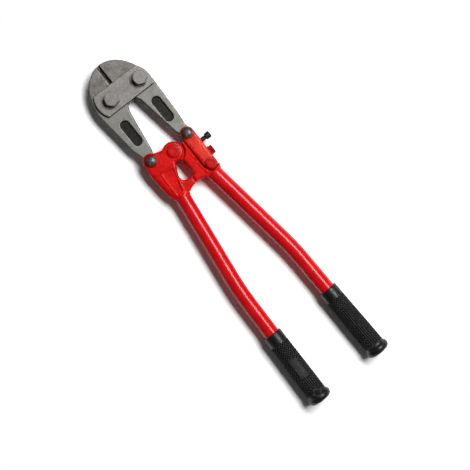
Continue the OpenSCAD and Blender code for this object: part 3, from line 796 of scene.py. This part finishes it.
lock_finish = paint(
    "lock_bolt_paint", rgb(0.16, 0.007, 0.006), rgb(0.42, 0.014, 0.010), lump_mm=2.5, lump_depth=0.3,
    coat=0.4, coat_rough=0.16, pitted=0.06,
)
rubber_finish = rubber(
    "black_grip_rubber", rgb(0.006, 0.006, 0.006), rgb(0.012, 0.012, 0.012), (0.3, 0.45), 0.35)
knurl_finish = rubber(
    "knurled_grip_rubber", rgb(0.023, 0.023, 0.023), rgb(0.058, 0.058, 0.058), (0.5, 0.7), 0.1)

for finish, nodes in (
    (bolt_finish, ("jaw_bolts", "jaw_nuts")),
    (dark_finish, ("toggle_bolt_left", "toggle_bolt_right", "toggle_nut_left", "toggle_nut_right")),
    (lock_finish, ("lock_bolt", "lock_washer")),
    (oxide_finish, ("adjusting_screw",)),
    (cap_finish, ("centre_bolt", "centre_nut", "lever_bolt", "lever_nut")),
    (tube_finish, ("tube_left", "tube_right")),
):
    for node in nodes:
        dress(node, finish)

# Rounds of the cast heads: the one all along, and what the outer flank adds. The spans are where
# the flank and the neck over the tube fade in, from the centre bolt. All in mm.
HEAD_ROUND = 4.5
FLANK_ROUND = 3.5
FLANK_X = (26, 36)
FLANK_Y = (-14, -4)
NECK_Y = (-66, -58)


def even_rim(reach, fall, upright):
    """The same round all along the outline."""
    return lambda x, y: (reach, fall, upright)


def head_rim(outward):
    """A cast head's rim; outward is -1 or 1 for the side with a broad flank, 0 for none."""
    def rim(x, y):
        flank = ramp_up(outward * x, *FLANK_X) * (1 - ramp_up(y, *FLANK_Y))
        above_neck = ramp_up(y, *NECK_Y)
        reach = HEAD_ROUND + FLANK_ROUND * flank
        return reach, reach * above_neck, EAR_INSIDE * (1 - flank)
    return rim


for side in ("left", "right"):
    piece = forged(f"jaw_{side}", f"forged_jaw_{side}", voxel_mm=0.6, passes=2,
                   rim=even_rim(reach=1.7, fall=4.0, upright=0.0))
    stands_for(piece, f"jaw_{side}", jaw_finish[side])
for side in ("front", "rear"):
    piece = forged(f"link_plate_{side}", f"pressed_plate_{side}", voxel_mm=0.5, passes=2,
                   rim=even_rim(reach=0.8, fall=1.8, upright=JAW_TOP))
    stands_for(piece, f"link_plate_{side}", plate_finish)
for side, outward in (("left", -1), ("right", 0)):
    piece = forged(f"head_{side}", f"cast_head_{side}", voxel_mm=0.6, passes=4, rim=head_rim(outward))
    stands_for(piece, f"head_{side}", casting_finish)
piece = forged("adjusting_lever", "cast_lever", voxel_mm=0.6, passes=4,
               rim=even_rim(reach=4.0, fall=4.4, upright=EAR_INSIDE))
stands_for(piece, "adjusting_lever", lever_finish)

for node in ("jaw_bolts", "jaw_nuts", "toggle_nut_left", "toggle_nut_right", "centre_nut", "lever_nut"):
    break_edges(node)

for side, body in (("left", "left_handle"), ("right", "right_handle")):
    grip = build_grip(f"grip_{side}", f"knurled_grip_{side}", side == "left")
    grip.data.materials.append(rubber_finish)
    grip.data.materials.append(knurl_finish)
    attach(grip, body)
    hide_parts(f"grip_{side}")


# ---------- floor, light and camera ----------

FLOOR_Z = CAD_BOX[0].z - 0.2 * MM
FLOOR_HALF = 6.0
FLOOR_LIT = rgb(0.72, 0.72, 0.72)
FLOOR_SEEN = rgb(1.36, 1.36, 1.36)
WHITE_FROM = (0.36, 0.46)
SKY_LIGHT = 0.045


def pale_floor():
    """Pale to the light, lighter to the camera, and plain white beyond the object's shadow."""
    g = Graph("pale_floor")
    g.tree.nodes.remove(g.bsdf)
    rays = g.add("ShaderNodeLightPath").outputs
    seen = g.math("MAXIMUM", rays["Is Camera Ray"], rays["Is Glossy Ray"])
    diffuse = g.add("ShaderNodeBsdfDiffuse")
    g.link(g.mix(seen, FLOOR_LIT, FLOOR_SEEN), diffuse.inputs["Color"])
    white = g.add("ShaderNodeEmission")
    away = g.add("ShaderNodeVectorMath", operation="LENGTH")
    g.link(g.coords, away.inputs[0])
    blend = g.add("ShaderNodeMixShader")
    g.link(g.times(seen, g.ramp(away.outputs["Value"], *WHITE_FROM)), blend.inputs[0])
    g.link(diffuse.outputs[0], blend.inputs[1])
    g.link(white.outputs[0], blend.inputs[2])
    g.link(blend.outputs[0], g.out.inputs["Surface"])
    return g.mat


floor_mesh = bpy.data.meshes.new("floor")
corners = [(x * FLOOR_HALF, y * FLOOR_HALF, FLOOR_Z) for x, y in ((-1, -1), (1, -1), (1, 1), (-1, 1))]
floor_mesh.from_pydata(corners, [], [(0, 1, 2, 3)])
floor_mesh.materials.append(pale_floor())
floor = bpy.data.objects.new("floor", floor_mesh)
bpy.context.scene.collection.objects.link(floor)

world = bpy.data.worlds.new("studio")
bpy.context.scene.world = world
world.use_nodes = True
tree = world.node_tree
background = tree.nodes["Background"]
background.inputs["Color"].default_value = rgb(1, 1, 1)
rays = tree.nodes.new("ShaderNodeLightPath")
level = tree.nodes.new("ShaderNodeMapRange")
tree.links.new(rays.outputs["Is Camera Ray"], level.inputs["Value"])
level.inputs["To Min"].default_value = SKY_LIGHT
level.inputs["To Max"].default_value = 1.0
tree.links.new(level.outputs["Result"], background.inputs["Strength"])

TARGET = Vector((-4.3 * MM, CENTRE.y - 157.5 * MM, MID_Z))


def soft_light(name, azimuth, elevation, distance, size, size_y, watts):
    """An area light that faces the target; angles in degrees, azimuth from +X, lengths in metres."""
    data = bpy.data.lights.new(name, "AREA")
    data.shape = "RECTANGLE"
    data.size = size
    data.size_y = size_y
    data.energy = watts
    o = bpy.data.objects.new(name, data)
    a, e = math.radians(azimuth), math.radians(elevation)
    back = Vector((math.cos(a) * math.cos(e), math.sin(a) * math.cos(e), math.sin(e)))
    along = (Vector((0, 1, 0)) - back * back.y).normalized()
    o.matrix_world = Matrix((along.cross(back), along, back)).transposed().to_4x4()
    o.location = TARGET + back * distance
    bpy.context.scene.collection.objects.link(o)


soft_light("key", azimuth=6, elevation=61, distance=2.2, size=0.8, size_y=1.5, watts=58.0)
for azimuth, watts in ((95, 1.2), (275, 0.6)):
    soft_light(f"fill_{azimuth}", azimuth, elevation=7, distance=2.6, size=1.6, size_y=0.4, watts=watts)

# The camera stands above and a little to the left, turned about its line of sight by ROLL.
cam_data = bpy.data.cameras.new("camera")
camera = bpy.data.objects.new("camera", cam_data)
bpy.context.scene.collection.objects.link(camera)
CAMERA_AT = Vector((-124.7 * MM, CENTRE.y - 150.7 * MM, MID_Z + 1502.5 * MM))
ROLL = math.radians(38.7)
SENSOR_MM = 36.0
LENS_MM = 75.67
forward = (TARGET - CAMERA_AT).normalized()
up = Vector((math.sin(ROLL), math.cos(ROLL), 0))
right = forward.cross(up).normalized()
up = right.cross(forward)
camera.matrix_world = Matrix((right, up, -forward)).transposed().to_4x4()
camera.location = CAMERA_AT
cam_data.sensor_width = SENSOR_MM
cam_data.lens = LENS_MM
bpy.context.scene.camera = camera

bpy.context.scene.view_settings.view_transform = "Standard"

bpy.context.view_layer.update()
